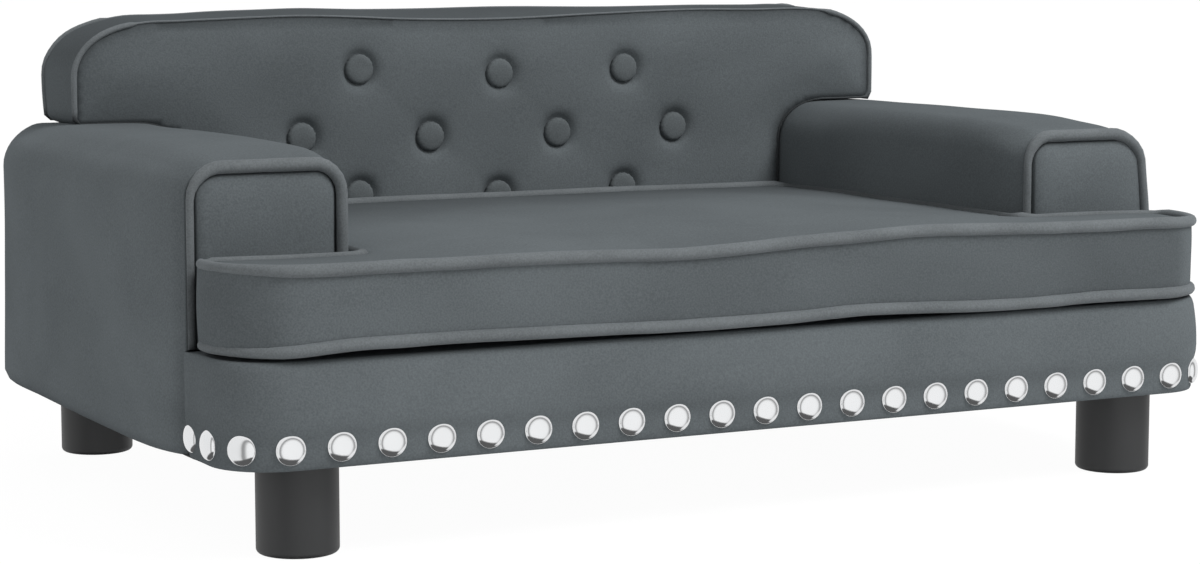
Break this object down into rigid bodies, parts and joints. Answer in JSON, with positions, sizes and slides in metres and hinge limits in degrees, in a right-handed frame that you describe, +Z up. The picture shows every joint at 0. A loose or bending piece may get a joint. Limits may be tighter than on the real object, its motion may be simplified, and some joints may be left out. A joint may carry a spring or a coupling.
{
  "type": "dog sofa bed",
  "caption": "Low upholstered pet sofa with box arms, button-tufted back with wings, loose T-shaped cushion, nail-trimmed front rail and round feet.",
  "frame": {"origin": "on the floor under the centre of the sofa's bounding box, at the soles of the feet", "axes": "+X across the sofa, to the right seen from the front; -Y towards the front edge of the seat; +Z up"},
  "size_m": [0.7, 0.45, 0.296],
  "materials": {
    "velvet": "short-pile velvet",
    "welt_velvet": "velvet welt",
    "button_velvet": "velvet-covered",
    "twine": "waxed twine",
    "black_cloth": "spunbonded cloth",
    "foam": "open-cell foam",
    "zip": "nylon coil and tape",
    "nail_chrome": "polished dome heads",
    "foot_plastic": "satin black",
    "zinc_steel": "zinc-plated",
    "plywood": "raw plywood"
  },
  "bodies": {
    "sofa": {"left_arm_cover": "velvet", "right_arm_cover": "velvet", "left_arm_welt": "welt_velvet", "right_arm_welt": "welt_velvet", "back_cover": "velvet", "back_front_piping": "welt_velvet", "back_rear_piping": "welt_velvet", "tuft_buttons": "button_velvet", "tuft_ties": "twine", "front_rail_cover": "velvet", "rail_nails": "nail_chrome", "deck_cloth": "black_cloth", "dust_cover": "black_cloth", "front_left_foot": "foot_plastic", "front_right_foot": "foot_plastic", "rear_left_foot": "foot_plastic", "rear_right_foot": "foot_plastic", "foot_bolts": "zinc_steel", "foot_tee_nuts": "zinc_steel", "front_left_block": "plywood", "front_right_block": "plywood", "rear_left_block": "plywood", "rear_right_block": "plywood", "front_rail_board": "plywood", "rear_rail_board": "plywood", "seat_board": "plywood", "seat_bearer": "plywood", "left_seat_batten": "plywood", "right_seat_batten": "plywood", "left_arm_outer_board": "plywood", "right_arm_outer_board": "plywood", "left_arm_inner_board": "plywood", "right_arm_inner_board": "plywood", "left_arm_front_board": "plywood", "right_arm_front_board": "plywood", "left_arm_rear_board": "plywood", "right_arm_rear_board": "plywood", "left_arm_top_board": "plywood", "right_arm_top_board": "plywood", "back_board": "plywood", "left_back_post": "plywood", "right_back_post": "plywood"},
    "seat_cushion": {"cushion_cover": "velvet", "cushion_foam": "foam", "cushion_zip": "zip", "cushion_top_welt": "welt_velvet", "cushion_bottom_welt": "welt_velvet"}
  },
  "joints": [
    {"name": "cushion_lift", "type": "slide", "parent": "sofa", "child": "seat_cushion", "axis": [0, 0, 1], "range_m": [0, 0.2]}
  ]
}
